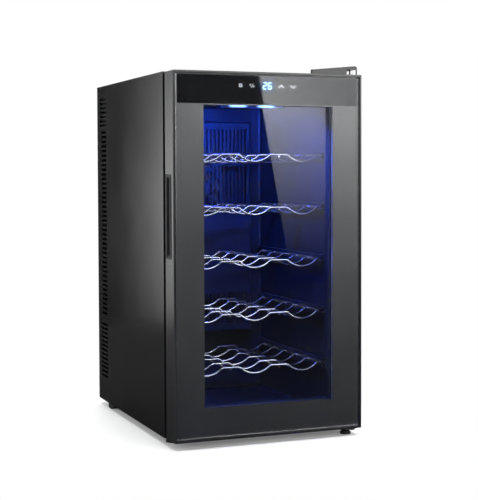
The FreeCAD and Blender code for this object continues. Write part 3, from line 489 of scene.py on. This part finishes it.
def digit(lit_bars, left):
    """A leaning seven-bar digit. Bars a to f go clockwise from the top, and bar g is the middle one."""
    width, height, middle = DIGIT_WIDTH, DIGIT_HEIGHT, DIGIT_HEIGHT / 2
    ends = {
        "a": ((0, height), (width, height)),
        "b": ((width, height), (width, middle)),
        "c": ((width, middle), (width, 0)),
        "d": ((width, 0), (0, 0)),
        "e": ((0, 0), (0, middle)),
        "f": ((0, middle), (0, height)),
        "g": ((0, middle), (width, middle)),
    }
    half = DIGIT_BAR / 2
    outlines = []
    for name in lit_bars:
        (x0, z0), (x1, z1) = ends[name]
        length = math.hypot(x1 - x0, z1 - z0)
        run_x, run_z = (x1 - x0) / length, (z1 - z0) / length
        near, far = BAR_GAP, length - BAR_GAP
        corners = (
            (near, 0), (near + half, half), (far - half, half),
            (far, 0), (far - half, -half), (near + half, -half),
        )
        outline = []
        for along, across in corners:
            x = x0 + run_x * along - run_z * across
            z = z0 + run_z * along + run_x * across
            outline.append((left + x + z * DIGIT_LEAN, DIGIT_FOOT + z))
        outlines.append(outline)
    return outlines


def arrow(middle, ends, tip):
    """A chevron whose ends and tip stand so far above the row of keys."""
    points = (
        (middle - ARROW_HALF_WIDTH, KEY_ROW + ends),
        (middle, KEY_ROW + tip),
        (middle + ARROW_HALF_WIDTH, KEY_ROW + ends),
    )
    return stroke(points, ARROW_WIDTH)


def lamp_mark():
    """A ring with a dot in it and four short rays."""
    dot_half, dot_width, ring_width, ray_width = 0.2, 1.0, 0.75, 0.55
    ray_ends = (3.1, 4.0)
    dot = ((LAMP_MIDDLE, KEY_ROW - dot_half), (LAMP_MIDDLE, KEY_ROW + dot_half))
    outlines = stroke(ring(LAMP_MIDDLE, KEY_ROW, LAMP_RADIUS), ring_width) + stroke(dot, dot_width)
    for turn in range(4):
        angle = math.radians(45 + 90 * turn)
        across, up = math.cos(angle), math.sin(angle)
        ray = [(LAMP_MIDDLE + reach * across, KEY_ROW + reach * up) for reach in ray_ends]
        outlines += stroke(ray, ray_width)
    return outlines


def scale_mark():
    """A slanted bar between a cross and a corner."""
    bars = (
        ((-33.2, -3.2), (-29.4, 3.2)),
        ((-36.2, 1.2), (-33.2, 1.2)),
        ((-34.7, 2.7), (-34.7, -0.3)),
        ((-29.8, -0.8), (-26.2, -0.8)),
        ((-29.2, -3.0), (-29.2, -0.8)),
    )
    outlines = []
    for bar in bars:
        outlines += stroke([(x, KEY_ROW + z) for x, z in bar], SCALE_WIDTH)
    return outlines


def panel_marks():
    """The lit temperature and the four touch marks."""
    digit_light = lit("digit_light", colour=(0.45, 0.85, 1.0), strength=1.7)
    arrow_light = lit("arrow_light", colour=(0.9, 0.91, 0.93), strength=1.1)
    mark_light = lit("mark_light", colour=(0.75, 0.77, 0.80), strength=0.45)
    two = digit("abged", DIGIT_LEFTS[0])
    six = digit("afgcde", DIGIT_LEFTS[1])
    slabs("display_digits", two + six, digit_light)
    slabs("key_up", arrow(UP_MIDDLE, ends=ARROW_DROP, tip=ARROW_RISE), arrow_light)
    slabs("key_down", arrow(DOWN_MIDDLE, ends=ARROW_RISE, tip=ARROW_DROP), arrow_light)
    slabs("key_lamp", lamp_mark(), mark_light)
    slabs("key_scale", scale_mark(), mark_light)


# ---------------------------------------------------------------- studio
def plane(name, corners, material):
    data = bpy.data.meshes.new(name)
    data.from_pydata(corners, [], [tuple(range(len(corners)))])
    piece = bpy.data.objects.new(name, data)
    scene.collection.objects.link(piece)
    data.materials.append(material)
    return piece


def beyond(shader, place, half):
    """How far a point lies outside the object's box along one axis."""
    return shader.math("MAXIMUM", shader.math("SUBTRACT", shader.math("ABSOLUTE", place), half), 0.0)


def floor_material():
    """Matt pale floor. Straight rays see it white, with the object's shade close to the case. Rays mirrored
    in the black case see a painted dim grey in place of the floor, darkest right of the object in front and
    left of it behind, so the case's reflections of the floor are painted dark there."""
    white_from = 140 * MM
    shader = Shader("studio_floor")
    pale = shader.ramp(shader.noise(1.2, detail=3.0), (0.88, 0.88, 0.885), (0.91, 0.91, 0.91))
    shader.drive(pale, "Base Color")
    shader.set(Roughness=0.6, Specular_IOR_Level=0.1)
    matt = shader.bsdf.outputs["BSDF"]
    x, y = shader.axis("X"), shader.axis("Y")
    beside = beyond(shader, x, case_half_width)
    before = beyond(shader, y, case_half_depth)
    squares = shader.math("ADD", shader.math("POWER", beside, 2.0), shader.math("POWER", before, 2.0))
    whiteness = shader.span(shader.math("SQRT", squares), low=0.15, high=1.0, start=0.0, stop=white_from)
    white = shader.add("ShaderNodeEmission", Strength=1.0).outputs["Emission"]
    seen = choose(shader.tree, whiteness, matt, white)
    # Painted reflection: mirrored rays see the floor as a dark grey from 0.03 to 0.35, chosen by which
    # quarter round the object the point lies in.
    dim = shader.add("ShaderNodeBsdfDiffuse")
    painted_reflection_mask = shader.span(shader.product(x, y), low=0.0, high=1.0, start=0.03, stop=0.25)
    painted_reflection_grey = shader.ramp(painted_reflection_mask, (0.03, 0.03, 0.03), (0.35, 0.35, 0.35), start=0.0, stop=1.0)
    shader.link(painted_reflection_grey, dim.inputs["Color"])
    glossy = shader.math("MINIMUM", shader.add("ShaderNodeLightPath").outputs["Glossy Depth"], 1.0)
    mirrored = choose(shader.tree, glossy, matt, dim.outputs["BSDF"])
    surface = choose(shader.tree, reflected(shader.tree), seen, mirrored)
    shader.link(surface, shader.output.inputs["Surface"])
    return shader.material


def studio_floor():
    reach = 30.0
    corners = [(-reach, -reach, 0), (reach, -reach, 0), (reach, reach, 0), (-reach, reach, 0)]
    plane("studio_floor", corners, floor_material())


def studio_world():
    """White behind the object; in reflections nearly dark at eye level and brighter overhead."""
    level, overhead = 0.2, 0.6
    dark, bright = 0.03, 0.4
    world = bpy.data.worlds.new("studio")
    scene.world = world
    world.use_nodes = True
    tree = world.node_tree
    around = tree.nodes["Background"]
    around.inputs["Color"].default_value = (0.95, 0.97, 1.0, 1)
    split = tree.nodes.new("ShaderNodeSeparateXYZ")
    tree.links.new(tree.nodes.new("ShaderNodeTexCoord").outputs["Generated"], split.inputs["Vector"])
    height = tree.nodes.new("ShaderNodeMapRange")
    for socket, value in (("From Min", level), ("From Max", overhead), ("To Min", dark), ("To Max", bright)):
        height.inputs[socket].default_value = value
    tree.links.new(split.outputs["Z"], height.inputs["Value"])
    tree.links.new(height.outputs["Result"], around.inputs["Strength"])
    seen = tree.nodes.new("ShaderNodeBackground")
    seen.inputs["Color"].default_value = (1, 1, 1, 1)
    both = choose(tree, reflected(tree), seen.outputs["Background"], around.outputs["Background"])
    tree.links.new(both, tree.nodes["World Output"].inputs["Surface"])


def glow_card(name, corners, strength):
    """A lit card that only reflections see. strength makes a number from the card's coordinates."""
    shader = Shader(name)
    light = shader.add("ShaderNodeEmission")
    shader.link(strength(shader), light.inputs["Strength"])
    shader.link(light.outputs["Emission"], shader.output.inputs["Surface"])
    card = plane(name, corners, shader.material)
    card.visible_camera = False
    card.visible_diffuse = False
    card.visible_shadow = False


def front_card_light(shader):
    """Brighter upwards. It dims from the slanted edge to the right, and has a bright band beyond that."""
    upward = shader.math("POWER", shader.span(shader.axis("Z"), low=0.0, high=1.0, start=0.0, stop=0.75), 2.0)
    inner = shader.span(shader.axis("X"), low=6.8, high=3.7, start=1.1, stop=1.6)
    outer = shader.span(shader.axis("X"), low=0.0, high=9.0, start=1.63, stop=1.75)
    return shader.product(upward, shader.math("ADD", inner, outer))


def side_card_light(shader):
    """Brightest at the card's outer side and at mid height, falling off towards the side panel's rear."""
    fade_start, fade_rate, brightest = -0.72, -30.0, 7.0
    band_middle, band_half, band_light = 0.40, 0.32, 0.42
    inward = shader.math("ADD", shader.axis("X"), -fade_start)
    across = shader.exponential(shader.product(inward, fade_rate))
    height = shader.offset("Z", band_middle, band_half)
    band = shader.exponential(shader.product(height, height, -0.5))
    return shader.product(shader.math("MINIMUM", across, brightest), shader.product(band, band_light))


def reflection_cards():
    """One card mirrored in the door's glass with a slanted edge, and one in the left side."""
    front, behind = -3.0, 1.5
    slanted = [(1.29, front, 0), (2.2, front, 0), (2.2, front, 0.92), (1.12, front, 0.92)]
    upright = [(-1.1, behind, 0), (-1.1, behind, 1.3), (-0.3, behind, 1.3), (-0.3, behind, 0)]
    glow_card("front_card", slanted, front_card_light)
    glow_card("side_card", upright, side_card_light)


def softbox(name, place, aim_at, size, power, colour=(1, 1, 1)):
    light = bpy.data.lights.new(name, "AREA")
    light.shape = "RECTANGLE"
    light.size, light.size_y = size
    light.energy = power
    light.color = colour
    lamp = bpy.data.objects.new(name, light)
    aim = (Vector(aim_at) - Vector(place)).to_track_quat("-Z", "Y").to_matrix().to_4x4()
    lamp.matrix_world = Matrix.Translation(place) @ aim
    lamp.visible_camera = False
    scene.collection.objects.link(lamp)
    return lamp


def studio_lights():
    """Soft lamps all round. Rays through the glass don't see those above, beside and behind the object."""
    boxes = (
        # name, place, point aimed at, size, power, seen through the glass
        ("upper_front_softbox", (1.3, -3.0, 1.32), (1.0, 0, 1.0), (2.2, 0.75), 40, True),
        ("front_left_softbox", (-1.7, -3.2, 1.0), (-0.4, 0, 0.4), (1.5, 1.3), 20, True),
        ("top_softbox", (0.2, -0.2, 2.6), (0, 0, 0), (2.6, 2.6), 115, False),
        ("right_softbox", (3.2, 0.2, 1.35), (0.17, 0, 0.5), (1.8, 1.3), 45, False),
        ("rear_softbox", (0.4, 3.6, 1.3), (0, 0.24, 0.4), (1.6, 1.2), 40, False),
        ("back_left_softbox", (-2.8, 1.0, 1.4), (-0.17, 0, 0.5), (0.9, 1.6), 30, False),
        ("back_right_softbox", (2.2, 2.8, 2.1), (0.1, 0, 0.4), (1.2, 1.2), 24, False),
    )
    for *shape, seen in boxes:
        softbox(*shape).visible_transmission = seen


def cavity_lights():
    """Blue light from the two lit stretches of the lamp, thrown down and back."""
    from_middle = 27 * MM
    size = (35 * MM, 12 * MM)
    back, down = 0.09, 0.2
    below = lens_low.z - 2 * MM
    middle_y = (lens_low.y + lens_high.y) / 2
    for side in (-1, 1):
        place = (side * from_middle, middle_y, below)
        aim_at = (side * from_middle, middle_y + back, below - down)
        softbox("cavity_lamp", place, aim_at, size, power=4.4, colour=(0.015, 0.08, 1.0))


def studio_camera():
    """A camera left of the door, a little above half height, tilted down slightly."""
    place = (-0.8137, -2.1510, 0.4592)
    yaw = math.radians(21.634)
    pitch = math.radians(2.291)
    roll = math.radians(-0.188)
    ahead = Vector((math.sin(yaw) * math.cos(pitch), math.cos(yaw) * math.cos(pitch), -math.sin(pitch)))
    level = Vector((math.cos(yaw), -math.sin(yaw), 0))
    above = level.cross(ahead)
    right = level * math.cos(roll) + above * math.sin(roll)
    up = above * math.cos(roll) - level * math.sin(roll)
    data = bpy.data.cameras.new("camera")
    data.sensor_width = 36.0
    data.lens = 88.4
    data.shift_y = -0.055
    data.clip_end = 100.0
    camera = bpy.data.objects.new("camera", data)
    turn = Matrix((right, up, -ahead)).transposed().to_4x4()
    camera.matrix_world = Matrix.Translation(place) @ turn
    scene.collection.objects.link(camera)
    scene.camera = camera


dress(cad_materials())
panel_marks()
studio_floor()
studio_world()
reflection_cards()
studio_lights()
cavity_lights()
studio_camera()
scene.view_settings.view_transform = "Standard"
